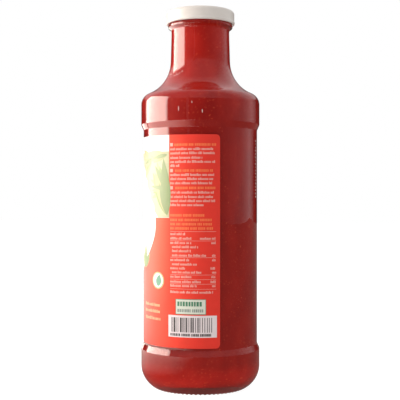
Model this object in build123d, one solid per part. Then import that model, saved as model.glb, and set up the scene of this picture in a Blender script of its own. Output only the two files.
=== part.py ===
"""A clear glass bottle of tomato passata, with a pressed steel lug cap and a wrap-around paper label.

Millimetres, +Z up. The origin is the middle of the foot ring, on the surface that the bottle stands on.
The middle of the label faces -Y.
"""
from build123d import *

import os
from math import acos, cos, degrees, radians, sin, sqrt

# Body of the bottle, from the foot up
body_radius = 38.4            # outside of the two bumper bands
foot_radius = 29.4            # outer edge of the foot ring
foot_width = 3.2              # radial width of the foot ring
foot_edge_radius = 0.6        # rounding of the foot ring's two edges
push_up = 4.0                 # rise of the domed underside
heel_height = 15.0            # rise of the curve from the foot ring to the lower band
lower_band_height = 10.1
band_slope_height = 3.6       # slope between a bumper band and the label panel
panel_recess = 1.55           # depth of the label panel below the bumper bands
panel_height = 137.4
upper_band_height = 13.0
shoulder_radius = 7.5         # convex curve above the upper band
flare_radius = 23.5           # concave curve that runs up into the neck

# Neck and finish
neck_base_radius = 19.7
neck_top_radius = 18.8
neck_taper_height = 16.7
collar_height = 3.2           # straight part of the neck under the transfer bead
bead_radius = 20.9
bead_slope_height = 1.7
bead_height = 1.6
finish_radius = 20.0          # outside of the glass that the cap goes over
finish_height = 7.9           # from the top of the bead to the rim
finish_wall = 3.2
rim_edge_radius = 0.8

# Walls of the glass
wall = 2.5                    # at the label panel
neck_wall = 2.3
inner_shoulder_radius = 5.0
inner_heel_radius = 10.5
foot_thickness = 7.0          # glass above the foot ring
base_thickness = 6.0          # glass in the middle of the base

# Knurling of the foot ring, which keeps the hot glass off the conveyor
knurl_count = 66
knurl_width = 1.8
knurl_depth = 0.8

# Lug thread: each ridge of the glass has a lug of the cap under it
lug_count = 4
ridge_span = 55.0             # degrees
ridge_depth = 1.2
ridge_embedding = 0.2         # how far its root runs into the wall of the finish
ridge_root_height = 2.0
ridge_crest_height = 1.2

# Cap, pressed from lacquered steel sheet
sheet = 0.35
cap_thread_clearance = 0.55   # from the thread's crest to the inside of the skirt
cap_corner_radius = 2.0
cap_curl_radius = 0.95        # the rolled lower edge
cap_curl_proud = 0.3          # how far the curl stands out past the skirt
cap_bead_clearance = 0.5      # from the transfer bead to the cap's lower edge
liner_thickness = 0.85        # sealing compound between the rim and the sheet
liner_overhang = 0.5          # how far the liner reaches past the rim, each side
panel_drop = 0.8              # the cap's middle lies this far below its raised ring
panel_inset = 1.2             # slope from the raised ring to the middle
button_radius = 8.6
button_drop = 0.4             # the safety button, drawn in by the vacuum
lug_span = 16.0               # degrees
lug_clearance = 0.3           # from the lug's inner edge to the glass

# Passata, filled to just below the rim
headspace = 5.5

# Label
label_thickness = 0.15
label_margin_bottom = 1.4     # bare panel below the label
label_margin_top = 4.9        # bare panel above the label
label_angle = 251.0           # degrees of the way round
label_corner_radius = 2.6

# Sizes that follow from the ones above
panel_radius = body_radius - panel_recess
inner_radius = panel_radius - wall
lower_band_top = heel_height + lower_band_height
panel_bottom = lower_band_top + band_slope_height
panel_top = panel_bottom + panel_height
upper_band_bottom = panel_top + band_slope_height
shoulder_bottom = upper_band_bottom + upper_band_height


def shoulder_turn(body, neck, convex, concave):
    """Angle that the shoulder turns through, in radians, so that its two arcs meet smoothly."""
    return acos((neck + concave + convex - body) / (convex + concave))


neck_base = shoulder_bottom + (shoulder_radius + flare_radius) * sin(
    shoulder_turn(body_radius, neck_base_radius, shoulder_radius, flare_radius))
neck_top = neck_base + neck_taper_height
bead_slope_bottom = neck_top + collar_height
bead_bottom = bead_slope_bottom + bead_slope_height
bead_top = bead_bottom + bead_height
rim = bead_top + finish_height
fill_level = rim - headspace
bore_radius = finish_radius - finish_wall

cap_skirt_radius = finish_radius + ridge_depth + cap_thread_clearance + sheet
cap_bottom = bead_top + cap_bead_clearance
curl_middle = cap_bottom + cap_curl_radius
lug_top = cap_bottom + 2 * cap_curl_radius
sheet_underside = rim + liner_thickness
cap_top = sheet_underside + sheet


def point_at(centre, radius, angle):
    return (centre[0] + radius * cos(radians(angle)), centre[1] + radius * sin(radians(angle)))


def arc(centre, radius, start, end):
    """Arc about a centre in the (radius, height) section, between two angles in degrees."""
    angles = (start, (start + end) / 2, end)
    return ThreePointArc(*(point_at(centre, radius, angle) for angle in angles))


def dome(edge_radius, edge_height, middle_height):
    """Arc from the axis out to an edge, level where it crosses the axis."""
    rise = middle_height - edge_height
    radius = (edge_radius ** 2 + rise ** 2) / (2 * rise)
    halfway = edge_radius / 2
    halfway_height = middle_height - radius + sqrt(radius ** 2 - halfway ** 2)
    return ThreePointArc((0, middle_height), (halfway, halfway_height), (edge_radius, edge_height))


def shoulder_and_flare(body, neck, convex, concave):
    """The two arcs from the body's wall, over the shoulder and up the flare to the base of the neck."""
    turn = shoulder_turn(body, neck, convex, concave)
    start = neck_base - (convex + concave) * sin(turn)
    return (arc((body - convex, start), convex, 0, degrees(turn)),
            arc((neck + concave, neck_base), concave, 180 + degrees(turn), 180))


def turned(*outline):
    """Solid of revolution about Z of a closed outline of points and arcs, joined by straight lines."""
    starts = [Vector(item) if isinstance(item, tuple) else item @ 0 for item in outline]
    ends = [Vector(item) if isinstance(item, tuple) else item @ 1 for item in outline]
    edges = [item for item in outline if not isinstance(item, tuple)]
    for end, start in zip(ends, starts[1:] + starts[:1]):
        if (start - end).length > 1e-6:
            edges.append(Line(end, start))
    return revolve(Plane.XZ * make_face(edges), Axis.Z)


def cylinder(radius, bottom, top):
    standing = (Align.CENTER, Align.CENTER, Align.MIN)
    return Pos(0, 0, bottom) * Cylinder(radius, top - bottom, align=standing)


def sector(inner, outer, span, bottom, top):
    """Part of a ring, centred on +X and covering that many degrees."""
    far = arc((0, 0), outer, -span / 2, span / 2)
    near = arc((0, 0), inner, span / 2, -span / 2)
    face = make_face([far, Line(far @ 1, near @ 0), near, Line(near @ 1, far @ 0)])
    return extrude(Pos(0, 0, bottom) * face, top - bottom)


def round_the_axis(shape, count):
    return [Rot(0, 0, 360 * index / count) * shape for index in range(count)]


def cavity(top):
    """The space inside the glass, up to a height at or above the finish."""
    heel_middle = foot_thickness + inner_heel_radius
    return turned(dome(inner_radius - inner_heel_radius, foot_thickness, push_up + base_thickness),
                  arc((inner_radius - inner_heel_radius, heel_middle), inner_heel_radius, -90, 0),
                  *shoulder_and_flare(inner_radius, neck_base_radius - neck_wall,
                                      inner_shoulder_radius, flare_radius + neck_wall),
                  (neck_top_radius - neck_wall, neck_top),
                  (neck_top_radius - neck_wall, bead_slope_bottom),
                  (bore_radius, bead_top),
                  (bore_radius, top),
                  (0, top))


def knurl():
    """Wedge that presses one groove into the foot ring, along +X, open at both ends of the groove."""
    overrun = 2 * knurl_depth
    half_width = knurl_width / 2 * (knurl_depth + overrun) / knurl_depth
    wedge = make_face(Polyline((-half_width, -overrun), (half_width, -overrun), (0, knurl_depth), close=True))
    inner_end = Plane((foot_radius - foot_width - overrun, 0, 0), x_dir=(0, 1, 0), z_dir=(1, 0, 0))
    return extrude(inner_end * wedge, foot_width + 2 * overrun)


def thread_ridge():
    root = finish_radius - ridge_embedding
    crest = finish_radius + ridge_depth
    ridge = turned((root, lug_top), (crest, lug_top), (crest, lug_top + ridge_crest_height),
                   (root, lug_top + ridge_root_height))
    return ridge & sector(root, crest, ridge_span, lug_top, rim)


def glass_bottle():
    heel_drop = body_radius - foot_radius
    heel_radius = (heel_drop ** 2 + heel_height ** 2) / (2 * heel_drop)
    heel_end = -degrees(acos((heel_radius - heel_drop) / heel_radius))
    bottle = turned(dome(foot_radius - foot_width, 0, push_up),
                    (foot_radius, 0),
                    arc((body_radius - heel_radius, heel_height), heel_radius, heel_end, 0),
                    (body_radius, lower_band_top),
                    (panel_radius, panel_bottom),
                    (panel_radius, panel_top),
                    (body_radius, upper_band_bottom),
                    *shoulder_and_flare(body_radius, neck_base_radius, shoulder_radius, flare_radius),
                    (neck_top_radius, neck_top),
                    (neck_top_radius, bead_slope_bottom),
                    (bead_radius, bead_bottom),
                    (bead_radius, bead_top),
                    (finish_radius, bead_top),
                    (finish_radius, rim),
                    (0, rim))
    bottle -= cavity(rim)
    foot_edges = bottle.edges().filter_by(GeomType.CIRCLE).filter_by_position(Axis.Z, -0.01, 0.01)
    bottle = fillet(foot_edges, foot_edge_radius)
    rim_edges = bottle.edges().filter_by(GeomType.CIRCLE).filter_by_position(Axis.Z, rim - 0.01, rim + 0.01)
    bottle = fillet(rim_edges, rim_edge_radius)
    bottle = bottle.cut(*round_the_axis(knurl(), knurl_count))
    return bottle.fuse(*round_the_axis(thread_ridge(), lug_count))


def passata():
    return cavity(rim) - cylinder(bore_radius, fill_level, rim)


def cap():
    """Skirt, raised ring, sunk middle and safety button, with the rolled edge, its lugs and the liner."""
    corner_middle = (cap_skirt_radius - cap_corner_radius, cap_top - cap_corner_radius)
    ring_inner = bore_radius - liner_overhang
    panel = cap_top - panel_drop
    button = panel - button_drop
    curl_radius = cap_skirt_radius + cap_curl_proud - cap_curl_radius
    shell = turned((cap_skirt_radius, curl_middle),
                   arc(corner_middle, cap_corner_radius, 0, 90),
                   (ring_inner, cap_top),
                   (ring_inner - panel_inset, panel),
                   (button_radius + button_drop, panel),
                   (button_radius, button),
                   (0, button),
                   (0, button - sheet),
                   (button_radius, button - sheet),
                   (button_radius + button_drop, panel - sheet),
                   (ring_inner - panel_inset, panel - sheet),
                   (ring_inner, sheet_underside),
                   arc(corner_middle, cap_corner_radius - sheet, 90, 0),
                   (cap_skirt_radius - sheet, curl_middle))
    curl = Pos(0, 0, curl_middle) * Torus(curl_radius, cap_curl_radius)
    liner = (cylinder(finish_radius + liner_overhang, rim, sheet_underside)
             - cylinder(ring_inner, rim, sheet_underside))
    lug = sector(finish_radius + lug_clearance, curl_radius, lug_span, curl_middle, lug_top)
    return (shell + curl + liner).fuse(*round_the_axis(lug, lug_count))


def label():
    """Paper wrapped round the recessed panel, with a bare strip of glass left at the back."""
    bottom = panel_bottom + label_margin_bottom
    top = panel_top - label_margin_top
    paper = Rot(0, 0, -90) * sector(panel_radius, panel_radius + label_thickness, label_angle, bottom, top)
    corners = paper.edges().filter_by(lambda edge: edge.length < 2 * label_thickness)
    return fillet(corners, label_corner_radius)


os.makedirs("parts", exist_ok=True)
for name, piece in {"glass_bottle": glass_bottle(), "passata": passata(), "cap": cap(),
                    "label": label()}.items():
    export_step(piece, f"parts/{name}.step")
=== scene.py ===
"""A glass bottle of tomato passata: contents, glass, bubbles, steel cap, paper label and print."""
from math import acos, atan2, ceil, cos, degrees, pi, radians, sin, sqrt, tan
from random import Random

import bmesh
import bpy
from mathutils import Matrix, Vector


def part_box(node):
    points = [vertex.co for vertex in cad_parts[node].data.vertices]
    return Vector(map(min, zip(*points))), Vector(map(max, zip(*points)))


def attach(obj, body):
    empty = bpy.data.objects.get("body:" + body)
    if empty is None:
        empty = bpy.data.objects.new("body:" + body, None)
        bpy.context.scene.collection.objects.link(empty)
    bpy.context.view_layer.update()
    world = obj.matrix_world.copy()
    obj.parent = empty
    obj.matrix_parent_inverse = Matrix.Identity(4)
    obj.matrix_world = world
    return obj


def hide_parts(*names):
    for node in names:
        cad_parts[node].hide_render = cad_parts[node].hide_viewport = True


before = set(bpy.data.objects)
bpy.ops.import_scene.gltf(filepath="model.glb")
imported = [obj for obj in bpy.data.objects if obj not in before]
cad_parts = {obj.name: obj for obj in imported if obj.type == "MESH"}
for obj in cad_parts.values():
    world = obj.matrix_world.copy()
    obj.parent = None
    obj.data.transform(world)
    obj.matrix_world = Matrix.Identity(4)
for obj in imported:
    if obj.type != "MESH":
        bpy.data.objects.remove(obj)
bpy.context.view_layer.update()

# ---------------------------------------------------------------------------------------------------
# Passata. Sieved tomato, cooked thick and filled hot, so it stands against the glass everywhere. Its
# outside lies 0.1 mm within the glass wall, so that glass and tomato meet with no air between them.

MM = 0.001
NECK_BASE_HEIGHT = 211.16
NECK_TOP_HEIGHT = 227.86
COLLAR_TOP_HEIGHT = 231.06
BEAD_TOP_HEIGHT = 234.36
BORE_RADIUS = 16.8
INNER_NECK_TOP_RADIUS = 16.5
INNER_NECK_BASE_RADIUS = 17.4
INNER_NECK_BASE_HEIGHT = NECK_BASE_HEIGHT
INNER_FLARE_RADIUS = 25.8
INNER_SHOULDER_RADIUS = 5.0
INNER_BODY_RADIUS = 34.35
INNER_HEEL_RADIUS = 10.5
INNER_FLOOR_HEIGHT = 7.0
INNER_DOME_HEIGHT = 10.0
INNER_COLLAR_BLEND = 3.0
INNER_NECK_BLEND = 20.0
FILL_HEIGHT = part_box("passata")[1].z / MM
OVERLAP = 0.1
FILL_SEGMENTS = 192
CLOUD_SIZE = 9.0
PULP_SIZE = 1.1               # real pulp is finer, and is drawn as coarse as it needs to show
# painted light: how much brighter the tomato's colour is painted up the neck and at the foot, and over
# which heights
NECK_PAINTED_LIGHT = 1.36
NECK_PAINTED_LIGHT_START = 176.0
NECK_PAINTED_LIGHT_FULL = 212.0
FOOT_PAINTED_LIGHT = 2.1
FOOT_PAINTED_LIGHT_START = 19.0
FOOT_PAINTED_LIGHT_FULL = 5.0


def linear(colour):
    """Linear colour of an sRGB hex value such as "#c0341f"."""
    shares = [int(colour[start:start + 2], 16) / 255 for start in (1, 3, 5)]
    return [share / 12.92 if share <= 0.04045 else ((share + 0.055) / 1.055) ** 2.4
            for share in shares] + [1]


def add_node(tree, kind, sockets=None, stops=(), **settings):
    """Add a node with its settings, set or link its input sockets, and fill a colour ramp's stops."""
    node = tree.nodes.new(kind)
    for name, value in settings.items():
        setattr(node, name, value)
    for name, value in (sockets or {}).items():
        if isinstance(value, bpy.types.NodeSocket):
            tree.links.new(value, node.inputs[name])
        else:
            node.inputs[name].default_value = value
    for _ in stops[2:]:
        node.color_ramp.elements.new(1.0)
    for element, (position, colour) in zip(node.color_ramp.elements if stops else (), stops):
        element.position = position
        element.color = linear(colour)
    return node


def new_material(name):
    """An empty material, its node tree and the place on the object, in metres, for its patterns."""
    material = bpy.data.materials.new(name)
    material.use_nodes = True
    material.node_tree.nodes.clear()
    place = add_node(material.node_tree, "ShaderNodeTexCoord").outputs["Object"]
    return material, material.node_tree, place


def arc_between(centre, start, end, step=6.0):
    """Points about a centre from start to end, the short way round, no more than step degrees apart."""
    first = start - centre
    last = end - centre
    sweep = atan2(first.x * last.y - first.y * last.x, first.dot(last))
    count = max(2, ceil(abs(degrees(sweep)) / step))
    return [centre + Matrix.Rotation(sweep * index / count, 2) @ first for index in range(count + 1)]


def rounded(corners):
    """Outline through (radius, height, rounding) corners, in millimetres, each rounded by an arc."""
    places = [Vector(corner[:2]) for corner in corners]
    outline = [places[0]]
    for before, corner, after, (_, _, rounding) in zip(places, places[1:], places[2:], corners[1:]):
        backward = (before - corner).normalized()
        forward = (after - corner).normalized()
        half = backward.angle(forward) / 2
        centre = corner + (backward + forward).normalized() * rounding / sin(half)
        reach = rounding / tan(half)
        outline += arc_between(centre, corner + backward * reach, corner + forward * reach)
    return outline + [places[-1]]


def s_curve(body, neck, neck_base, convex, concave):
    """The corners of a flare and the shoulder below it, whose arcs run straight into each other."""
    turn = acos((neck + concave + convex - body) / (convex + concave))
    shoulder_base = neck_base - (convex + concave) * sin(turn)
    flare_corner = (neck, neck_base - concave * tan(turn / 2), concave)
    shoulder_corner = (body, shoulder_base + convex * tan(turn / 2), convex)
    return [flare_corner, shoulder_corner]


def dome(edge_radius, edge_height, middle_height, count=10):
    """Points of a dome's arc from the axis out to just short of its edge."""
    rise = middle_height - edge_height
    radius = (edge_radius ** 2 + rise ** 2) / (2 * rise)
    radii = [edge_radius * index / count for index in range(count)]
    return [Vector((r, middle_height - radius + sqrt(radius ** 2 - r ** 2))) for r in radii]


def divided(outline, longest=3.5):
    """The outline with its long runs cut into short ones, so that smooth shading stays true on them."""
    points = [outline[0]]
    for start, end in zip(outline, outline[1:]):
        count = ceil((end - start).length / longest)
        points += [start.lerp(end, (index + 1) / count) for index in range(count)]
    return points


def lathe(name, outline, segments, material):
    """Surface of revolution of an outline in millimetres that starts and ends on the axis."""
    verts = []
    rings = []
    for point in outline:
        turns = 1 if point.x < 1e-6 else segments
        rings.append(range(len(verts), len(verts) + turns))
        for index in range(turns):
            angle = 2 * pi * index / segments
            verts.append((point.x * MM * cos(angle), point.x * MM * sin(angle), point.y * MM))
    faces = []
    for lower, upper in zip(rings, rings[1:]):
        for index in range(segments):
            following = (index + 1) % segments
            corners = [lower[index % len(lower)], lower[following % len(lower)],
                       upper[following % len(upper)], upper[index % len(upper)]]
            faces.append(list(dict.fromkeys(corners)))
    return mesh_piece(name, verts, faces, material)


def mesh_piece(name, verts, faces, material):
    mesh = bpy.data.meshes.new(name)
    mesh.from_pydata(verts, [], faces)
    return finished_piece(name, mesh, material)


def finished_piece(name, mesh, material):
    """Smooth a mesh, give it its material and put it into the scene as one piece."""
    mesh.shade_smooth()
    mesh.materials.append(material)
    piece = bpy.data.objects.new(name, mesh)
    bpy.context.scene.collection.objects.link(piece)
    return piece


def inside_corners(grow):
    """Corners of the inside of the glass from the bore down to the floor, moved out by grow."""
    body = INNER_BODY_RADIUS + grow
    neck = INNER_NECK_BASE_RADIUS + grow
    flare_and_shoulder = s_curve(body, neck, INNER_NECK_BASE_HEIGHT, INNER_SHOULDER_RADIUS + grow,
                                 INNER_FLARE_RADIUS - grow)
    return [(BORE_RADIUS + grow, BEAD_TOP_HEIGHT, INNER_COLLAR_BLEND),
            (INNER_NECK_TOP_RADIUS + grow, COLLAR_TOP_HEIGHT - 0.5, INNER_COLLAR_BLEND),
            (INNER_NECK_TOP_RADIUS + grow, NECK_TOP_HEIGHT - 1.0, INNER_NECK_BLEND),
            *flare_and_shoulder,
            (body, INNER_FLOOR_HEIGHT - grow, INNER_HEEL_RADIUS + grow)]


def inside_floor(grow):
    """The pushed-up floor, from just inside the heel to the axis."""
    edge = INNER_BODY_RADIUS - INNER_HEEL_RADIUS
    return dome(edge, INNER_FLOOR_HEIGHT - grow, INNER_DOME_HEIGHT - grow)[::-1]


# Strained tomato: opaque and wet, a deep red that is a little uneven where fine pulp settles. Its colour
# has painted light: it is painted brighter up the neck and at the foot, where light reaches it from more
# sides.
tomato, tree, place = new_material("strained_tomato")
drift = add_node(tree, "ShaderNodeMapping", {"Vector": place, "Scale": (1, 1, 0.45)})
clouds = add_node(tree, "ShaderNodeTexNoise", {
    "Vector": drift.outputs[0], "Scale": 1 / (CLOUD_SIZE * MM), "Detail": 3.0})
clouded = add_node(tree, "ShaderNodeValToRGB", {"Fac": clouds.outputs["Fac"]},
                   stops=((0.30, "#8a100a"), (0.52, "#93130b"), (0.72, "#9c1910")))
pulp = add_node(tree, "ShaderNodeTexNoise", {"Vector": place, "Scale": 1 / (PULP_SIZE * MM), "Detail": 2.0})
flecks = add_node(tree, "ShaderNodeValToRGB", {"Fac": pulp.outputs["Fac"]},
                  stops=((0.64, "#000000"), (0.76, "#ffffff")))
tomato_colour = add_node(tree, "ShaderNodeMix", {
    "Factor": flecks.outputs["Color"], 6: clouded.outputs["Color"], 7: linear("#c2452a")}, data_type="RGBA")
height = add_node(tree, "ShaderNodeSeparateXYZ", {"Vector": place}).outputs["Z"]
# painted light: the tomato's base colour is painted brighter up the neck and towards the foot
neck_painted_light = add_node(tree, "ShaderNodeMapRange", {
    "Value": height, "From Min": NECK_PAINTED_LIGHT_START * MM, "From Max": NECK_PAINTED_LIGHT_FULL * MM,
    "To Min": 1.0, "To Max": NECK_PAINTED_LIGHT})
foot_painted_light = add_node(tree, "ShaderNodeMapRange", {
    "Value": height, "From Min": FOOT_PAINTED_LIGHT_FULL * MM, "From Max": FOOT_PAINTED_LIGHT_START * MM,
    "To Min": FOOT_PAINTED_LIGHT, "To Max": 1.0})
painted_light = add_node(tree, "ShaderNodeMath", {
    0: neck_painted_light.outputs[0], 1: foot_painted_light.outputs[0]}, operation="MULTIPLY")
painted_lighter_colour = add_node(tree, "ShaderNodeHueSaturation", {
    "Color": tomato_colour.outputs[2], "Value": painted_light.outputs[0]})
wet = add_node(tree, "ShaderNodeBsdfPrincipled", {
    "Base Color": painted_lighter_colour.outputs[0], "Roughness": 0.55, "IOR": 1.35, "Specular IOR Level": 0.1})
add_node(tree, "ShaderNodeOutputMaterial", {"Surface": wet.outputs[0]})

fill_corners = [(0, FILL_HEIGHT, 0), (BORE_RADIUS + OVERLAP, FILL_HEIGHT, 0.3), *inside_corners(OVERLAP),
                (INNER_BODY_RADIUS - INNER_HEEL_RADIUS, INNER_FLOOR_HEIGHT - OVERLAP, 0)]
fill_outline = divided(rounded(fill_corners)) + inside_floor(OVERLAP)
passata = lathe("passata_fill", fill_outline[::-1], FILL_SEGMENTS, tomato)
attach(passata, "root")
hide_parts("passata")

# ---------------------------------------------------------------------------------------------------
# Glass bottle. Clear flint glass, blown in a two-part mould: two bumper bands with a sunk label panel
# between them, a knurled foot ring, and a transfer bead under the finish that the cap is screwed to.

BAND_RADIUS = 38.4
PANEL_RADIUS = 36.85
PANEL_BOTTOM = 28.7
PANEL_TOP = 166.1
BAND_SLOPE = 3.6
BAND_EDGE_ROUNDING = 1.4
FOOT_INNER_RADIUS = 26.2
FOOT_OUTER_RADIUS = 29.4
FOOT_ROUNDING = 0.9
HEEL_HEIGHT = 15.0
PUSH_UP = 4.0
SHOULDER_RADIUS = 7.5
FLARE_RADIUS = 23.5
NECK_BASE_RADIUS = 19.7
NECK_TOP_RADIUS = 18.8
BEAD_RADIUS = 20.9
FINISH_RADIUS = 20.0
RIM_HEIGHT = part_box("glass_bottle")[1].z / MM
KNURL_COUNT = 66
KNURL_DEPTH = 1.2
KNURL_HEIGHT = 2.5
KNURL_OVERRUN = 1.2           # how far the grooves run out past the foot's flat, each way
GLASS_SEGMENTS = 4 * KNURL_COUNT
WAVE_SIZE = 11.0

# Flint glass: fire-polished and colourless, with a breath of grey-green where it is thick. The mould
# leaves it slightly wavy, in streaks that run up the bottle. Light from the lamps and from the room
# goes straight through to the tomato.
flint_glass, tree, place = new_material("flint_glass")
upright = add_node(tree, "ShaderNodeMapping", {"Vector": place, "Scale": (1, 1, 0.22)})
waves = add_node(tree, "ShaderNodeTexNoise", {
    "Vector": upright.outputs[0], "Scale": 1 / (WAVE_SIZE * MM), "Detail": 1.0})
wavy = add_node(tree, "ShaderNodeBump", {
    "Height": waves.outputs["Fac"], "Strength": 0.3, "Distance": 0.4 * MM})
clear = add_node(tree, "ShaderNodeBsdfPrincipled", {
    "Base Color": linear("#f1f5f1"), "Roughness": 0.0, "IOR": 1.52, "Transmission Weight": 1.0,
    "Normal": wavy.outputs[0]})
let_through = add_node(tree, "ShaderNodeBsdfTransparent", {"Color": linear("#f7f8f6")})
path = add_node(tree, "ShaderNodeLightPath")
lit_by_lamps = add_node(tree, "ShaderNodeMixShader", {
    0: path.outputs["Is Shadow Ray"], 1: clear.outputs[0], 2: let_through.outputs[0]})
lit_by_room = add_node(tree, "ShaderNodeMixShader", {
    0: path.outputs["Is Diffuse Ray"], 1: lit_by_lamps.outputs[0], 2: let_through.outputs[0]})
add_node(tree, "ShaderNodeOutputMaterial", {"Surface": lit_by_room.outputs[0]})

heel_drop = BAND_RADIUS - FOOT_OUTER_RADIUS
heel_radius = (heel_drop ** 2 + HEEL_HEIGHT ** 2) / (2 * heel_drop)
heel_corner = heel_drop * (heel_radius - heel_drop) / HEEL_HEIGHT
underside = dome(FOOT_INNER_RADIUS, 0, PUSH_UP)
flare_and_shoulder = s_curve(BAND_RADIUS, NECK_BASE_RADIUS, NECK_BASE_HEIGHT,
                             SHOULDER_RADIUS, FLARE_RADIUS)
glass_corners = [
    (underside[-1].x, underside[-1].y, 0),
    (FOOT_INNER_RADIUS, 0, FOOT_ROUNDING),
    (FOOT_OUTER_RADIUS, 0, FOOT_ROUNDING),
    (BAND_RADIUS, heel_corner, heel_radius - FOOT_ROUNDING),
    (BAND_RADIUS, PANEL_BOTTOM - BAND_SLOPE, BAND_EDGE_ROUNDING),
    (PANEL_RADIUS, PANEL_BOTTOM, BAND_EDGE_ROUNDING),
    (PANEL_RADIUS, PANEL_TOP, BAND_EDGE_ROUNDING),
    (BAND_RADIUS, PANEL_TOP + BAND_SLOPE, BAND_EDGE_ROUNDING),
    *flare_and_shoulder[::-1],
    (NECK_TOP_RADIUS, NECK_TOP_HEIGHT, 30.0),
    (NECK_TOP_RADIUS, COLLAR_TOP_HEIGHT, 0.8),
    (BEAD_RADIUS, COLLAR_TOP_HEIGHT + 1.7, 0.6),
    (BEAD_RADIUS, BEAD_TOP_HEIGHT, 0.5),
    (FINISH_RADIUS, BEAD_TOP_HEIGHT, 0.2),
    (FINISH_RADIUS, RIM_HEIGHT, 0.8),
    (BORE_RADIUS, RIM_HEIGHT, 0.8),
    *inside_corners(0),
    (INNER_BODY_RADIUS - INNER_HEEL_RADIUS, INNER_FLOOR_HEIGHT, 0)]
glass_outline = underside[:-1] + divided(rounded(glass_corners)) + inside_floor(0)
glass = lathe("bottle_glass", glass_outline, GLASS_SEGMENTS, flint_glass)

# The knurls: grooves pressed up into the foot ring, one for each turn of a cosine round the bottle.
foot_middle = (FOOT_INNER_RADIUS + FOOT_OUTER_RADIUS) / 2
for vertex in glass.data.vertices:
    off_middle = abs(vertex.co.xy.length / MM - foot_middle)
    across = 1 - off_middle / (FOOT_OUTER_RADIUS - foot_middle + KNURL_OVERRUN)
    below = 1 - vertex.co.z / MM / KNURL_HEIGHT
    if across > 0 and below > 0:
        groove = 0.5 - 0.5 * cos(KNURL_COUNT * atan2(vertex.co.y, vertex.co.x))
        vertex.co.z += KNURL_DEPTH * MM * groove * min(1, 2 * across) * below
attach(glass, "root")
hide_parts("glass_bottle")

# ---------------------------------------------------------------------------------------------------
# Bubbles. Air that hot filling caught against the glass: a cluster of fine beads under the neck's base
# and a few stretched seeds in the shoulder band. They are drawn as opaque pale beads, a painted glint for
# the light their air reflects.

BEAD_COUNT = 30
BEAD_RADII = (0.2, 0.38)
BEAD_LIFT = 0.35              # from the inside of the glass to a bubble's middle
CLUSTER_AZIMUTH = 41.0
CLUSTER_SPREAD = 12.0
CLUSTER_HEIGHT = 201.5
CLUSTER_THICKNESS = 2.2
CLUSTER_SLOPE = 0.09          # millimetres down for each degree round
SEED_RADIUS = 0.17
SEEDS = ((84.5, 177.2, 9.0), (108.2, 175.4, 7.0), (98.0, 181.0, 4.0))     # azimuth, height, stretch

# Air seen through glass: a painted glint, a pale base colour brighter than the tomato behind it, under a
# real gloss that mirrors the lamps.
caught_air, tree, place = new_material("air_against_glass")
painted_glint = add_node(tree, "ShaderNodeBsdfPrincipled", {
    "Base Color": linear("#f8e6de"), "Roughness": 0.15, "IOR": 1.5})
add_node(tree, "ShaderNodeOutputMaterial", {"Surface": painted_glint.outputs[0]})
inside = rounded([(0, FILL_HEIGHT, 0), *inside_corners(0)])


def inside_radius(height):
    """Radius of the inside of the glass at a height, in millimetres."""
    for upper, lower in zip(inside, inside[1:]):
        if lower.y <= height <= upper.y:
            return upper.lerp(lower, (upper.y - height) / (upper.y - lower.y)).x
    return INNER_BODY_RADIUS


def bead(form, azimuth, height, radius, stretch):
    """A bubble on the inside of the glass, at an azimuth in degrees and a height in millimetres."""
    away = inside_radius(height) + BEAD_LIFT
    turn = radians(azimuth)
    place = Matrix.Translation(Vector((sin(turn) * away, -cos(turn) * away, height)) * MM)
    size = Matrix.Diagonal((radius * MM, radius * MM, radius * stretch * MM, 1))
    bmesh.ops.create_icosphere(form, subdivisions=2, radius=1.0, matrix=place @ size)


def piece_from_form(name, form, material):
    """Turn a bmesh into a piece, and free it."""
    mesh = bpy.data.meshes.new(name)
    form.to_mesh(mesh)
    form.free()
    return finished_piece(name, mesh, material)


# painted glint: each bubble and seed is an opaque pale bead
bubble_dice = Random(12)
form = bmesh.new()
for _ in range(BEAD_COUNT):
    azimuth = bubble_dice.gauss(CLUSTER_AZIMUTH, CLUSTER_SPREAD)
    middle = CLUSTER_HEIGHT - CLUSTER_SLOPE * (azimuth - CLUSTER_AZIMUTH)
    height = middle + bubble_dice.gauss(0, CLUSTER_THICKNESS)
    bead(form, azimuth, height, bubble_dice.uniform(*BEAD_RADII), 1.0)
for azimuth, height, stretch in SEEDS:
    bead(form, azimuth, height, SEED_RADIUS, stretch)
bubbles = piece_from_form("trapped_bubbles", form, caught_air)
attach(bubbles, "root")

# ---------------------------------------------------------------------------------------------------
# Cap. Pressed from thin tin-plated steel and lacquered white. The rolled lower edge hides the cut edge
# of the sheet. The middle is sunk, with a safety button at its centre.

cap_low, cap_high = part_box("cap")
CAP_BOTTOM = cap_low.z / MM
CAP_TOP = cap_high.z / MM
CURL_OUTER_RADIUS = cap_high.x / MM
CURL_RADIUS = 0.95
SKIRT_RADIUS = CURL_OUTER_RADIUS - 0.3
CAP_CORNER = 2.0
CAP_RING_INNER = 16.3
CAP_PANEL_DROP = 0.8
BUTTON_RADIUS = 8.6
BUTTON_DROP = 0.4
SHEET = 0.35
LINER_RADIUS = 20.5
CAP_SEGMENTS = 192
ORANGE_PEEL_SIZE = 1.6
HANDLING_SIZE = 11.0

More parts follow.
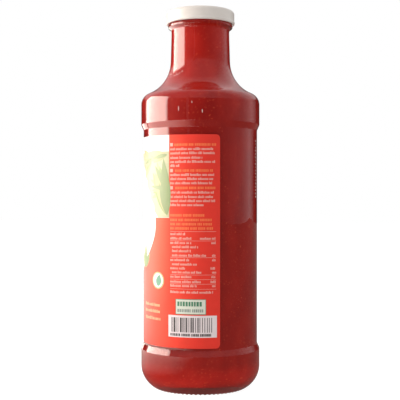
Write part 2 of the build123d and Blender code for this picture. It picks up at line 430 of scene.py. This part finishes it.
# White lacquer, stoved on the flat sheet before pressing: a satin coat with a faint orange-peel.
lacquer, tree, place = new_material("white_lacquered_steel")
peel = add_node(tree, "ShaderNodeTexNoise", {
    "Vector": place, "Scale": 1 / (ORANGE_PEEL_SIZE * MM), "Detail": 1.0})
orange_peel = add_node(tree, "ShaderNodeBump", {
    "Height": peel.outputs["Fac"], "Strength": 0.12, "Distance": 0.1 * MM})
handling = add_node(tree, "ShaderNodeTexNoise", {
    "Vector": place, "Scale": 1 / (HANDLING_SIZE * MM), "Detail": 4.0})
worn = add_node(tree, "ShaderNodeValToRGB", {"Fac": handling.outputs["Fac"]},
                stops=((0.35, "#cdc5be"), (0.7, "#d4cdc6")))
satin = add_node(tree, "ShaderNodeBsdfPrincipled", {
    "Base Color": worn.outputs["Color"], "Roughness": 0.35, "IOR": 1.5, "Specular IOR Level": 0.35,
    "Normal": orange_peel.outputs[0]})
add_node(tree, "ShaderNodeOutputMaterial", {"Surface": satin.outputs[0]})

cap_corners = [
    (0, CAP_TOP - CAP_PANEL_DROP - BUTTON_DROP, 0),
    (BUTTON_RADIUS, CAP_TOP - CAP_PANEL_DROP - BUTTON_DROP, 0.3),
    (BUTTON_RADIUS + 0.5, CAP_TOP - CAP_PANEL_DROP, 0.3),
    (CAP_RING_INNER - 1.2, CAP_TOP - CAP_PANEL_DROP, 0.5),
    (CAP_RING_INNER, CAP_TOP, 0.5),
    (SKIRT_RADIUS, CAP_TOP, CAP_CORNER),
    (SKIRT_RADIUS, CAP_BOTTOM + 2 * CURL_RADIUS, 0.3),
    (CURL_OUTER_RADIUS, CAP_BOTTOM + 1.45 * CURL_RADIUS, 0.3),
    (CURL_OUTER_RADIUS, CAP_BOTTOM, 0.9 * CURL_RADIUS),
    (CURL_OUTER_RADIUS - 2 * CURL_RADIUS, CAP_BOTTOM, 0.9 * CURL_RADIUS),
    (CURL_OUTER_RADIUS - 2 * CURL_RADIUS, CAP_BOTTOM + 2 * CURL_RADIUS, 0.5),
    (SKIRT_RADIUS - SHEET, CAP_BOTTOM + 2 * CURL_RADIUS, 0.1),
    (SKIRT_RADIUS - SHEET, RIM_HEIGHT + 0.4, 0.3),
    (LINER_RADIUS, RIM_HEIGHT, 0.1),
    (CAP_RING_INNER, RIM_HEIGHT, 0.1),
    (CAP_RING_INNER - 1.2, CAP_TOP - CAP_PANEL_DROP - SHEET, 0.1),
    (0, CAP_TOP - CAP_PANEL_DROP - BUTTON_DROP - SHEET, 0)]
cap = lathe("cap_pressing", divided(rounded(cap_corners), 1.0)[::-1], CAP_SEGMENTS, lacquer)
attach(cap, "root")
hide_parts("cap")

# ---------------------------------------------------------------------------------------------------
# Label. Coated paper, 0.15 mm thick, glued round the sunk panel with its corners die-cut round. Its
# two ends leave a bare strip of glass at the back. The whole sheet is printed red as its ground.

label_low, label_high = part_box("label")
LABEL_BOTTOM = label_low.z / MM
LABEL_TOP = label_high.z / MM
LABEL_RADIUS = 37.0
LABEL_CORNER = 2.6
PAPER = 0.15
LABEL_HALF_TURN = 125.5       # degrees, from the middle of the front to where the sheet ends
FRONT_HALF_TURN = 75.0        # degrees, to where the front of the label ends and its small print begins
LABEL_HALF_WIDTH = LABEL_RADIUS * radians(LABEL_HALF_TURN)
TEXT_EDGE = LABEL_RADIUS * radians(FRONT_HALF_TURN)
COLUMNS = 128
ROWS = 40
COCKLE_SIZE = 16.0
FIBRE_SIZE = 0.5              # paper fibres are finer, and are drawn as coarse as they need to show
INK_CLOUD_SIZE = 5.0


def on_label(across, height, lift=0.0):
    """Place on the label, in metres: across in millimetres from the middle of its front, lift off it."""
    angle = across / LABEL_RADIUS
    radius = (LABEL_RADIUS + lift) * MM
    return (radius * sin(angle), -radius * cos(angle), height * MM)


def printed_paper(name, colour, gloss="#ffffff"):
    """Coated label paper under one ink: offset printed and varnished, with the cockle of glued paper."""
    material, tree, place = new_material(name)
    cockle = add_node(tree, "ShaderNodeTexNoise", {
        "Vector": place, "Scale": 1 / (COCKLE_SIZE * MM), "Detail": 2.0})
    low = add_node(tree, "ShaderNodeBump", {
        "Height": cockle.outputs["Fac"], "Strength": 0.2, "Distance": 0.4 * MM})
    fibres = add_node(tree, "ShaderNodeTexNoise", {
        "Vector": place, "Scale": 1 / (FIBRE_SIZE * MM), "Detail": 2.0})
    fine = add_node(tree, "ShaderNodeBump", {
        "Height": fibres.outputs["Fac"], "Strength": 0.1, "Distance": 0.03 * MM, "Normal": low.outputs[0]})
    density = add_node(tree, "ShaderNodeTexNoise", {
        "Vector": place, "Scale": 1 / (INK_CLOUD_SIZE * MM), "Detail": 4.0})
    spread = add_node(tree, "ShaderNodeMapRange", {
        "Value": density.outputs["Fac"], "From Min": 0.3, "From Max": 0.7, "To Min": 0.965, "To Max": 1.03})
    inked = add_node(tree, "ShaderNodeHueSaturation", {"Color": linear(colour), "Value": spread.outputs[0]})
    varnished = add_node(tree, "ShaderNodeBsdfPrincipled", {
        "Base Color": inked.outputs[0], "Roughness": 0.43, "IOR": 1.5, "Specular IOR Level": 0.7,
        "Specular Tint": linear(gloss), "Normal": fine.outputs[0]})
    add_node(tree, "ShaderNodeOutputMaterial", {"Surface": varnished.outputs[0]})
    return material


def label_columns():
    """Places across the label, closer together at its two ends for their round corners."""
    ends = [LABEL_HALF_WIDTH - LABEL_CORNER * (1 - sin(pi / 2 * index / 10)) for index in range(11)]
    straight = LABEL_HALF_WIDTH - LABEL_CORNER
    between = [straight * (2 * index / COLUMNS - 1) for index in range(1, COLUMNS)]
    return [-across for across in ends[::-1]] + between + ends


verts = []
columns = label_columns()
for lift in (0.0, -PAPER):
    for across in columns:
        into_corner = max(0, LABEL_CORNER - LABEL_HALF_WIDTH + abs(across))
        inset = LABEL_CORNER - sqrt(LABEL_CORNER ** 2 - into_corner ** 2)
        for row in range(ROWS + 1):
            height = LABEL_BOTTOM + inset + (LABEL_TOP - LABEL_BOTTOM - 2 * inset) * row / ROWS
            verts.append(on_label(across, height, lift))
column_size = ROWS + 1
back = len(verts) // 2
faces = []
for first in range(0, back - column_size, column_size):
    for low in range(first, first + ROWS):
        right = low + column_size
        faces.append((low, right, right + 1, low + 1))
        faces.append((back + low, back + low + 1, back + right + 1, back + right))
    top = first + ROWS
    faces.append((first, back + first, back + first + column_size, first + column_size))
    faces.append((top, top + column_size, back + top + column_size, back + top))
last = back - column_size
for row in range(ROWS):
    faces.append((row, row + 1, back + row + 1, back + row))
    faces.append((last + row, back + last + row, back + last + row + 1, last + row + 1))
label = mesh_piece("label_paper", verts, faces, printed_paper("red_printed_paper", "#dc1c22", "#ffeeb0"))
label.data.set_sharp_from_angle(angle=radians(40))
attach(label, "root")
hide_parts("label")

# ---------------------------------------------------------------------------------------------------
# Print. Flat inks over the red ground, each a film that lies on the paper: the pale front with its
# sprays of leaves, and the narrow column of small print beside it. There are no letters in it.

INK_STEP = 0.02               # each ink lies this far above the one before
CURVE_STEP = 1.5              # shapes are cut this often, so that they follow the curve of the label


def ink(name, shapes, colour, layer):
    """One ink's film: closed shapes of (across, height) points, in millimetres, laid on the label."""
    form = bmesh.new()
    for shape in shapes:
        form.faces.new([form.verts.new((across, height, 0)) for across, height in shape])
    places = [across for shape in shapes for across, _ in shape]
    widths = [max(across for across, _ in shape) - min(across for across, _ in shape) for shape in shapes]
    if max(widths) > CURVE_STEP:
        for index in range(ceil(min(places) / CURVE_STEP), ceil(max(places) / CURVE_STEP)):
            bmesh.ops.bisect_plane(form, geom=form.verts[:] + form.edges[:] + form.faces[:],
                                   plane_co=(index * CURVE_STEP, 0, 0), plane_no=(1, 0, 0))
    bmesh.ops.triangulate(form, faces=[face for face in form.faces if len(face.verts) > 4])
    form.normal_update()
    for face in form.faces:
        if face.normal.z < 0:
            face.normal_flip()
    for vertex in form.verts:
        vertex.co = on_label(vertex.co.x, vertex.co.y, INK_STEP * layer)
    piece = piece_from_form(name, form, printed_paper(name, colour))
    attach(piece, "root")


def block(left, bottom, width, height):
    right = left + width
    top = bottom + height
    return [(left, bottom), (right, bottom), (right, top), (left, top)]


def mirrored(shapes):
    return [[(-across, height) for across, height in shape[::-1]] for shape in shapes]


def leaf(base, length, width, tilt):
    """Pointed oval that grows from base, tilted from upright in degrees."""
    half = [(width / 2 * sin(pi * share) ** 0.8 * (1.25 - 0.5 * share), length * share)
            for share in [index / 10 for index in range(1, 10)]]
    flat = [(0, 0)] + half + [(0, length)] + [(-side, up) for side, up in half[::-1]]
    turn = radians(tilt)
    return [(base[0] + side * cos(turn) + up * sin(turn), base[1] - side * sin(turn) + up * cos(turn))
            for side, up in flat]


def disc(centre, radius, count=28):
    turns = [2 * pi * index / count for index in range(count)]
    return [(centre[0] + radius * cos(turn), centre[1] + radius * sin(turn)) for turn in turns]


# The pale field: square at the top, where it meets the small print, and rounded in like a shield below.
FIELD_STEP = 110.0            # height where the square part of the field ends
SHIELD_HALF_WIDTH = 37.0
SHIELD_TOP = 104.0
SHIELD_DEPTH = 34.0
field_right = [(TEXT_EDGE, LABEL_TOP), (TEXT_EDGE, FIELD_STEP), (SHIELD_HALF_WIDTH, FIELD_STEP)]
field_right += [(SHIELD_HALF_WIDTH * cos(angle) ** 1.4, SHIELD_TOP - SHIELD_DEPTH * sin(angle) ** 1.15)
                for angle in [radians(6 * index) for index in range(15)]]
field_left = [(-across, height) for across, height in field_right[::-1]]
ink("print_pale_field", [field_right + field_left], "#d6d2cc", 1)

# The foliage: a pale ground with a scalloped inner edge, and on it leaves in four quiet tints.
FOLIAGE_BOTTOM = 110.2
FOLIAGE_TOP = 151.0
FOLIAGE_TOP_EDGE = 15.0       # across, where its inner edge starts
FOLIAGE_SPREAD = 24.5         # how far its inner edge runs outward on the way down
SCALLOP_DEPTH = 1.6
foliage = [(TEXT_EDGE, FOLIAGE_BOTTOM), (TEXT_EDGE, FOLIAGE_TOP), (FOLIAGE_TOP_EDGE, FOLIAGE_TOP)]
foliage += [(FOLIAGE_TOP_EDGE + FOLIAGE_SPREAD * share - SCALLOP_DEPTH * sin(6 * pi * share) ** 2,
             FOLIAGE_TOP - (FOLIAGE_TOP - FOLIAGE_BOTTOM) * share ** 1.15)
            for share in [index / 24 for index in range(1, 25)]]
ink("print_foliage", [foliage] + mirrored([foliage]), "#a3a480", 2)
TWIGS = ((8, (47.0, 111.5), (20, 38), (-30, -2)),      # leaves, foot of the twig, lengths, tilts
         (7, (47.0, 149.0), (12, 24), (-112, -84)),
         (9, (46.5, 128.0), (10, 18), (-120, -20)),
         (7, (33.0, 147.0), (9, 15), (-150, -60)))
leaf_dice = Random(7)
sprays = [[], [], [], []]
for count, base, lengths, tilts in TWIGS:
    for index in range(count):
        tilt = tilts[0] + (tilts[1] - tilts[0]) * (index + leaf_dice.uniform(0.2, 0.8)) / count
        length = leaf_dice.uniform(*lengths)
        spread = leaf_dice.uniform(0.18, 0.28)
        sprays[index % 4].append(leaf(base, length, length * spread, tilt))
LEAF_TINTS = ("#909a68", "#748a4c", "#9a9668", "#687a46")
for number, (spray, tint) in enumerate(zip(sprays, LEAF_TINTS), start=1):
    ink(f"print_leaves_{number}", spray + mirrored(spray), tint, 2 + number)
SPRIG_LEAVES = ((15, 5.0, 4), (12, 4.4, 38), (12, 4.4, -30))              # length, width, tilt
SPRIG_FOOT = (23.0, 78.0)
sprig = [leaf(SPRIG_FOOT, length, width, tilt) for length, width, tilt in SPRIG_LEAVES]
ink("print_sprigs", sprig + mirrored(sprig), "#56702c", 2)

# The small print: headings in orange, running text in white, a table with rules, a plate and a barcode.
TEXT_LEFT = TEXT_EDGE + 0.9
TEXT_RIGHT = LABEL_HALF_WIDTH - 2.6
dice = Random(41)


def text_row(height, left, right, tall=1.15, capitals=False):
    """A row of small blocks, in groups like words, that stands in for a line of print."""
    blocks = []
    x = left
    while x < right - 0.8:
        for _ in range(dice.randint(3, 10)):
            wide = dice.uniform(0.35, 0.7) * tall / 1.15
            if x + wide > right:
                break
            up = tall * (1.35 if not capitals and dice.random() < 0.25 else 1.0)
            blocks.append(block(x, height - tall / 2, wide, up))
            x += wide + 0.2 * tall / 1.15
        x += 0.55
    return blocks


headings = text_row(154.9, TEXT_LEFT + 2.6, TEXT_RIGHT, 1.5, True)
headings += text_row(139.0, TEXT_LEFT + 3.4, TEXT_RIGHT - 1.5, 1.5, True)
headings += text_row(128.4, TEXT_LEFT + 3.4, TEXT_RIGHT, 1.5, True)
for height, short in ((111.6, 7.0), (108.8, 2.0), (106.2, 2.5), (103.6, 1.0)):
    headings += text_row(height, TEXT_LEFT, TEXT_RIGHT - short, 1.5, True)
ink("print_orange", headings, "#ea6a2c", 1)

RUNNING_ROWS = (              # height, how far short of the right edge the row ends
    (152.1, 1.5), (149.6, 0.0), (146.8, 8.0), (144.3, 0.5), (141.9, 23.0), (136.3, 1.0),
    (133.8, 1.2), (131.2, 2.0), (125.5, 1.0), (122.8, 1.5), (120.3, 0.0), (117.8, 7.0))
TABLE_ROWS = (                # height, indent, how far short the name ends, width of the value
    (100.0, 0, 19.0, 0), (97.3, 0, 15.0, 10.0), (94.6, 0, 15.0, 3.0), (92.1, 1.2, 12.0, 0),
    (89.6, 1.2, 16.5, 0), (86.9, 1.2, 6.0, 2.5), (84.1, 0, 16.0, 2.5), (81.5, 1.2, 13.0, 0),
    (79.0, 0, 18.0, 3.5), (76.6, 1.2, 10.0, 2.5), (73.8, 0, 14.0, 3.0), (70.8, 0, 9.0, 3.5),
    (68.3, 0, 12.0, 2.5), (64.4, 0, 1.5, 0))
RULES = (101.6, 95.9, 85.7, 75.1, 72.3, 69.5, 66.4)
RULE_WIDTH = 0.18
MARKS = (154.9, 139.0, 128.4)
MARK_SIZE = 2.0
white = []
for height, short in RUNNING_ROWS:
    white += text_row(height, TEXT_LEFT, TEXT_RIGHT - short)
for height in MARKS:
    white.append(block(TEXT_LEFT - 0.2, height - 0.9, MARK_SIZE, MARK_SIZE))
for height, left, right, value in TABLE_ROWS:
    white += text_row(height, TEXT_LEFT + left, TEXT_RIGHT - right + left)
    if value:
        white += text_row(height, TEXT_RIGHT - value, TEXT_RIGHT)
for height in RULES:
    white.append(block(TEXT_LEFT, height, TEXT_RIGHT - TEXT_LEFT, RULE_WIDTH))
ink("print_white", white, "#e0988c", 1)

CODE_BOTTOM = 36.9
CODE_WIDTH = 31.0
CODE_HEIGHT = 13.4
BAR_BOTTOM = 40.0
BAR_HEIGHT = 9.0
BAR_WIDTHS = (0.4, 0.4, 0.8, 1.1)          # of the gaps too
PLATE_BOTTOM = 51.3
PLATE_WIDTH = 18.5
PLATE_HEIGHT = 8.7
PLATE_RIM = 0.35
plate_left = TEXT_LEFT + 4.0
code_left = TEXT_LEFT - 1.4
tinted_plate = block(plate_left, PLATE_BOTTOM, PLATE_WIDTH, PLATE_HEIGHT)
plate_frame = block(plate_left - PLATE_RIM, PLATE_BOTTOM - PLATE_RIM,
                    PLATE_WIDTH + 2 * PLATE_RIM, PLATE_HEIGHT + 2 * PLATE_RIM)
ink("print_plate", [block(code_left, CODE_BOTTOM, CODE_WIDTH, CODE_HEIGHT)], "#d9cdcd", 1)
ink("print_plate_frame", [plate_frame], "#4f7a5c", 1)
ink("print_tinted_plate", [tinted_plate], "#ccd0c0", 2)
ink("print_green", text_row(57.4, plate_left + 0.9, plate_left + 17.8, 2.8, True), "#2f7553", 3)
ink("print_grey", text_row(53.3, plate_left + 0.9, plate_left + 17.8, 1.9, True), "#7f8a82", 3)
bars = []
x = code_left + 2.2
while x < code_left + CODE_WIDTH - 2.8:
    wide = dice.choice(BAR_WIDTHS)
    bars.append(block(x, BAR_BOTTOM, wide, BAR_HEIGHT))
    x += wide + dice.choice(BAR_WIDTHS)
bars += text_row(38.4, code_left + 1.4, code_left + CODE_WIDTH - 2.6, 1.6, True)
ink("print_black", bars, "#1e1618", 2)

# Beside it, on both sides of the front: a leaf in a ringed roundel, and three short lines in cream.
ROUNDEL_ACROSS = 39.2
ROUNDEL_HEIGHT = 71.0
RING_RADIUS = 5.3
ROUNDEL_RADIUS = 4.5
roundel = (ROUNDEL_ACROSS, ROUNDEL_HEIGHT)
ring_disc = disc(roundel, RING_RADIUS)
inner_disc = disc(roundel, ROUNDEL_RADIUS)
roundel_leaf = leaf((ROUNDEL_ACROSS, ROUNDEL_HEIGHT - 3.6), 7.4, 4.6, 12)
ink("print_rings", [ring_disc] + mirrored([ring_disc]), "#87985f", 1)
ink("print_roundels", [inner_disc] + mirrored([inner_disc]), "#d8d4c6", 2)
ink("print_roundel_leaves", [roundel_leaf] + mirrored([roundel_leaf]), "#3f7f62", 3)
cream = []
for height in (55.4, 51.4, 46.9):
    cream += text_row(height, 23.9, 41.5, 1.5)
ink("print_cream", cream + mirrored(cream), "#dd9468", 1)

# ---------------------------------------------------------------------------------------------------
# Lot code. A column of fine ink dots that a jet prints on the bare glass after filling.

JET_PITCH = 2.1
JET_MARKS = 18
JET_START = 122.9
JET_AZIMUTH = 181.0
JET_COLUMNS = 5
JET_ROWS = 2
JET_GAPS = 0.25               # share of the places in a mark that hold no dot
DOT_SIDES = 6
DOT_WIDTH = 0.6
DOT_HEIGHT = 0.48
COLUMN_PITCH = 0.85
ROW_PITCH = 0.5
JET_LIFT = 0.02

# Jet ink: a fast-drying pale pigment, matt, in dots that stand a little proud of the glass.
jet_ink, tree, place = new_material("pale_jet_ink")
dried = add_node(tree, "ShaderNodeBsdfPrincipled", {
    "Base Color": linear("#dcc8c0"), "Roughness": 0.7, "IOR": 1.45})
add_node(tree, "ShaderNodeOutputMaterial", {"Surface": dried.outputs[0]})
verts = []
faces = []
for mark in range(JET_MARKS):
    for column in range(JET_COLUMNS):
        for row in range(JET_ROWS):
            if dice.random() < JET_GAPS:
                continue
            off_middle = column - (JET_COLUMNS - 1) / 2
            angle = radians(JET_AZIMUTH) + off_middle * COLUMN_PITCH / PANEL_RADIUS
            outward = Vector((sin(angle), -cos(angle), 0)) * (PANEL_RADIUS + JET_LIFT) * MM
            along = Vector((cos(angle), sin(angle), 0)) * DOT_WIDTH / 2 * MM
            up = Vector((0, 0, DOT_HEIGHT / 2 * MM))
            middle = outward + Vector((0, 0, (JET_START + mark * JET_PITCH + row * ROW_PITCH) * MM))
            turns = [2 * pi * corner / DOT_SIDES for corner in range(DOT_SIDES)]
            faces.append(range(len(verts), len(verts) + DOT_SIDES))
            verts += [middle + along * cos(turn) + up * sin(turn) for turn in turns]
lot_code = mesh_piece("lot_code_dots", verts, faces, jet_ink)
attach(lot_code, "root")

# ---------------------------------------------------------------------------------------------------
# Studio. A white table and backdrop in a dim room, a tall softbox close on the left, and a level camera.

VIEW_ANGLE = radians(106.4)   # how far round the bottle the camera stands, from the label's front
CAMERA_DISTANCE = 0.574
CAMERA_OFFSET = 0.00025       # to the left
CAMERA_HEIGHT = 0.121
CAMERA_LENS = 79.2
CAMERA_SENSOR = 36
KEY_ANGLE = -80
KEY_DISTANCE = 0.6
KEY_HEIGHT = 0.45
KEY_WIDTH = 0.4
KEY_TALL = 0.5
KEY_POWER = 4.4
ROOM_LIGHT = 0.88
TABLE_REACH = 4.0
toward_camera = Vector((sin(VIEW_ANGLE), -cos(VIEW_ANGLE), 0))
to_the_right = Vector((cos(VIEW_ANGLE), sin(VIEW_ANGLE), 0))

camera = bpy.data.objects.new("camera", bpy.data.cameras.new("camera"))
camera.data.lens = CAMERA_LENS
camera.data.sensor_width = CAMERA_SENSOR
camera.location = toward_camera * CAMERA_DISTANCE - to_the_right * CAMERA_OFFSET
camera.location.z = CAMERA_HEIGHT
camera.rotation_euler = (pi / 2, 0, VIEW_ANGLE)
bpy.context.scene.collection.objects.link(camera)
bpy.context.scene.camera = camera


def around(angle, distance, height):
    """Place at a distance from the bottle, angle degrees to the right of the camera as it stands."""
    turned = radians(angle)
    place = (toward_camera * cos(turned) + to_the_right * sin(turned)) * distance
    return Vector((place.x, place.y, height))


lamp = bpy.data.lights.new("key_light", "AREA")
lamp.shape = "RECTANGLE"
lamp.size = KEY_WIDTH
lamp.size_y = KEY_TALL
lamp.energy = KEY_POWER
lamp.color = linear("#fff6ee")[:3]
key = bpy.data.objects.new("key_light", lamp)
key.location = around(KEY_ANGLE, KEY_DISTANCE, KEY_HEIGHT)
bottle_middle = Vector((0, 0, 0.12))
key.rotation_euler = (bottle_middle - key.location).to_track_quat("-Z", "Y").to_euler()
key.visible_glossy = False
key.visible_transmission = False
bpy.context.scene.collection.objects.link(key)


def diffuser(name, angle, distance, height, width, tall, strength, colour, soft):
    """Upright lit cloth that only glass, lacquer and varnish mirror, fading out over soft at its edge."""
    material, tree, place = new_material(name)
    axes = add_node(tree, "ShaderNodeSeparateXYZ", {"Vector": place})
    fades = []
    for axis, size in (("X", width), ("Y", tall)):
        away = add_node(tree, "ShaderNodeMath", {0: axes.outputs[axis]}, operation="ABSOLUTE")
        fades.append(add_node(tree, "ShaderNodeMapRange", {
            "Value": away.outputs[0], "From Min": size / 2 - soft, "From Max": size / 2, "To Min": 1.0,
            "To Max": 0.0}, interpolation_type="SMOOTHSTEP"))
    both = add_node(tree, "ShaderNodeMath", {
        0: fades[0].outputs[0], 1: fades[1].outputs[0]}, operation="MULTIPLY")
    level = add_node(tree, "ShaderNodeMath", {0: both.outputs[0], 1: strength}, operation="MULTIPLY")
    lit = add_node(tree, "ShaderNodeEmission", {"Color": linear(colour), "Strength": level.outputs[0]})
    add_node(tree, "ShaderNodeOutputMaterial", {"Surface": lit.outputs[0]})
    x = width / 2
    y = tall / 2
    card = mesh_piece(name, [(-x, -y, 0), (x, -y, 0), (x, y, 0), (-x, y, 0)], [(0, 1, 2, 3)], material)
    card.location = around(angle, distance, height)
    card.rotation_euler = (pi / 2, 0, VIEW_ANGLE + radians(angle))
    card.visible_camera = False
    card.visible_diffuse = False
    card.visible_shadow = False


diffuser("softbox_cloth", angle=-95, distance=0.60, height=0.30, width=0.82, tall=0.66,
         strength=12.0, colour="#fff1e6", soft=0.12)
diffuser("window_blind", angle=-24, distance=0.9, height=0.30, width=0.13, tall=0.5,
         strength=0.3, colour="#ffffff", soft=0.05)

# White card: a matt table. The camera sees it plain white, glass shows it dimmer, and what mirrors it
# sees a painted pool of light on its left side, emitted in place of the light that the softbox throws
# there.
white_card, tree, place = new_material("white_table")
matt = add_node(tree, "ShaderNodeBsdfDiffuse", {"Color": linear("#e8e8e8")})
faint = add_node(tree, "ShaderNodeBsdfDiffuse", {"Color": linear("#9a9a9a")})
even = add_node(tree, "ShaderNodeEmission", {"Color": (1, 1, 1, 1), "Strength": 0.86})
white = add_node(tree, "ShaderNodeAddShader", {0: faint.outputs[0], 1: even.outputs[0]})
dim = add_node(tree, "ShaderNodeEmission", {"Color": linear("#ffe9dc"), "Strength": 0.36})
shaded = add_node(tree, "ShaderNodeAddShader", {0: faint.outputs[0], 1: dim.outputs[0]})
# painted light: in mirrors, the table glows brighter towards its left, as a painted pool for the softbox's
# spill
leftward = add_node(tree, "ShaderNodeVectorMath", {0: place, 1: -to_the_right}, operation="DOT_PRODUCT")
painted_pool_level = add_node(tree, "ShaderNodeMapRange", {
    "Value": leftward.outputs["Value"], "From Min": 0.05, "From Max": 0.30, "To Min": 0.2, "To Max": 4.0})
softbox_painted_pool = add_node(tree, "ShaderNodeEmission", {
    "Color": linear("#fff1e6"), "Strength": painted_pool_level.outputs[0]})
path = add_node(tree, "ShaderNodeLightPath")
in_mirror = add_node(tree, "ShaderNodeMixShader", {
    0: path.outputs["Is Glossy Ray"], 1: matt.outputs[0], 2: softbox_painted_pool.outputs[0]})
through_glass = add_node(tree, "ShaderNodeMixShader", {
    0: path.outputs["Is Transmission Ray"], 1: in_mirror.outputs[0], 2: shaded.outputs[0]})
to_camera = add_node(tree, "ShaderNodeMixShader", {
    0: path.outputs["Is Camera Ray"], 1: through_glass.outputs[0], 2: white.outputs[0]})
add_node(tree, "ShaderNodeOutputMaterial", {"Surface": to_camera.outputs[0]})
table_corners = [(across * TABLE_REACH, deep * TABLE_REACH, 0)
                 for across, deep in ((-1, -1), (1, -1), (1, 1), (-1, 1))]
table = mesh_piece("table", table_corners, [(0, 1, 2, 3)], white_card)

# The room: the camera sees it white, and it lights the bottle evenly. Glass and lacquer mirror a room
# that is bright behind the bottle's edges and overhead, and dim beside and behind the camera.
world = bpy.data.worlds.new("studio")
bpy.context.scene.world = world
world.use_nodes = True
tree = world.node_tree
tree.nodes.clear()
path = add_node(tree, "ShaderNodeLightPath")
direction = add_node(tree, "ShaderNodeTexCoord").outputs["Generated"]
facing = add_node(tree, "ShaderNodeVectorMath", {0: direction, 1: toward_camera}, operation="DOT_PRODUCT")
turned = add_node(tree, "ShaderNodeMapRange", {
    "Value": facing.outputs["Value"], "From Min": -1.0, "From Max": 1.0})
level = add_node(tree, "ShaderNodeValToRGB", {"Fac": turned.outputs[0]}, stops=(
    (0.0, "#181818"), (0.13, "#303030"), (0.28, "#f0f0f0"), (0.5, "#b0b0b0"), (1.0, "#484848")))
above = add_node(tree, "ShaderNodeValToRGB", {"Fac": turned.outputs[0]}, stops=(
    (0.0, "#808080"), (0.12, "#ffffff"), (0.35, "#ffffff"), (0.6, "#b4b4b4")))
height = add_node(tree, "ShaderNodeSeparateXYZ", {"Vector": direction}).outputs["Z"]
raised = add_node(tree, "ShaderNodeMapRange", {"Value": height, "From Min": 0.24, "From Max": 0.34})
mirrored_room = add_node(tree, "ShaderNodeMix", {
    "Factor": raised.outputs[0], 6: level.outputs["Color"], 7: above.outputs["Color"]}, data_type="RGBA")
seen_through = add_node(tree, "ShaderNodeValToRGB", {"Fac": turned.outputs[0]}, stops=(
    (0.0, "#ffffff"), (0.3, "#ffffff"), (0.6, "#5a4238")))
lit = add_node(tree, "ShaderNodeBackground", {"Color": (1, 1, 1, 1), "Strength": ROOM_LIGHT})
in_mirror = add_node(tree, "ShaderNodeBackground", {"Color": mirrored_room.outputs[2]})
through_glass = add_node(tree, "ShaderNodeBackground", {"Color": seen_through.outputs["Color"]})
backdrop = add_node(tree, "ShaderNodeBackground", {"Color": (1, 1, 1, 1)})
glossy = add_node(tree, "ShaderNodeMixShader", {
    0: path.outputs["Is Glossy Ray"], 1: lit.outputs[0], 2: in_mirror.outputs[0]})
clear_view = add_node(tree, "ShaderNodeMixShader", {
    0: path.outputs["Is Transmission Ray"], 1: glossy.outputs[0], 2: through_glass.outputs[0]})
straight = add_node(tree, "ShaderNodeMixShader", {
    0: path.outputs["Is Camera Ray"], 1: clear_view.outputs[0], 2: backdrop.outputs[0]})
add_node(tree, "ShaderNodeOutputWorld", {"Surface": straight.outputs[0]})
bpy.context.scene.view_settings.view_transform = "Standard"
